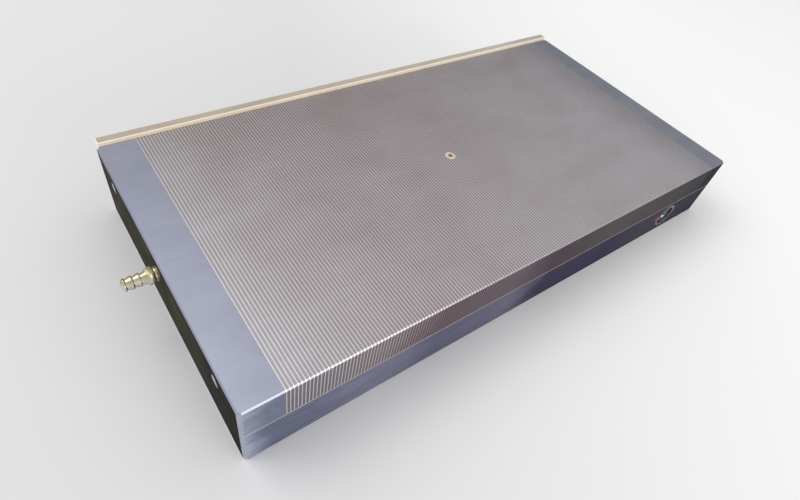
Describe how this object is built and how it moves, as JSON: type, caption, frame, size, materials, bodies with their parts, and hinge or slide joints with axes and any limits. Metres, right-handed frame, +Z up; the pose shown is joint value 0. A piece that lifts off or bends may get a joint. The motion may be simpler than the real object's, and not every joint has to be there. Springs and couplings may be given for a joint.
{
  "type": "magnetic chuck",
  "caption": "Rectangular key-operated permanent magnetic chuck with a fine-pole laminated face, a back stop rail, a hexagon key socket and a barbed air hose tail.",
  "frame": {"origin": "centre of the underside of the base housing", "axes": "+X along the length towards the end with the key socket, +Y to the back rail, +Z up out of the working face"},
  "size_m": [0.4187, 0.2137, 0.0534],
  "materials": {
    "ground_steel_end": "fine ground",
    "lamination_steel": "fine ground",
    "lamination_brass": "fine ground",
    "base_steel": "ground, dark reflections",
    "gasket_brass": "satin",
    "bush_brass": "turned",
    "screw_steel": "black oxide",
    "nickel": "nickel plated",
    "washer_brass": "satin",
    "shaft_steel": "turned",
    "bush_steel": "turned, bright",
    "bronze": "sintered",
    "seal_rubber": "plain",
    "magnet": "nickel-plated magnet",
    "pack_iron": "milled",
    "pack_aluminium": "milled",
    "rail_steel": "ground, warm",
    "zinc_steel": "zinc plated"
  },
  "bodies": {
    "housing": {"base_housing": "base_steel", "parting_gasket": "gasket_brass", "left_end_block": "ground_steel_end", "right_end_block": "ground_steel_end", "pole_plates": "lamination_steel", "brass_spacers": "lamination_brass", "centre_bush": "bush_brass", "base_screws": "screw_steel", "hose_tail": "nickel", "hose_tail_washer": "washer_brass", "shaft_bush": "bush_steel", "rear_bush": "bronze", "stop_screw": "screw_steel", "slide_strips": "bronze", "guide_strips": "bronze", "rail_washers": "zinc_steel", "rail_screws": "screw_steel"},
    "operating_shaft": {"operating_shaft": "shaft_steel", "shaft_seal": "seal_rubber"},
    "magnet_pack": {"magnets": "magnet", "pack_pole_bars": "pack_iron", "carrier_plate": "pack_aluminium", "side_rails": "pack_aluminium", "centre_rib": "pack_aluminium", "end_bar": "pack_aluminium", "drive_bar": "pack_aluminium", "yoke_block": "pack_iron"},
    "back_rail": {"back_rail": "rail_steel"}
  },
  "joints": [
    {"name": "shaft_turn", "type": "hinge", "parent": "housing", "child": "operating_shaft", "pos_m": [0.15, -0.0985, 0.0145], "axis": [0, 1, 0], "range_deg": [0, 180]},
    {"name": "pack_slide", "type": "slide", "parent": "housing", "child": "magnet_pack", "axis": [1, 0, 0], "range_m": [0, 0.008]},
    {"name": "rail_height", "type": "slide", "parent": "housing", "child": "back_rail", "axis": [0, 0, 1], "range_m": [-0.004, 0.003]}
  ],
  "couplings": [
    {"joint": "shaft_turn", "follows": "pack_slide", "rad_per_m": 392.7}
  ]
}
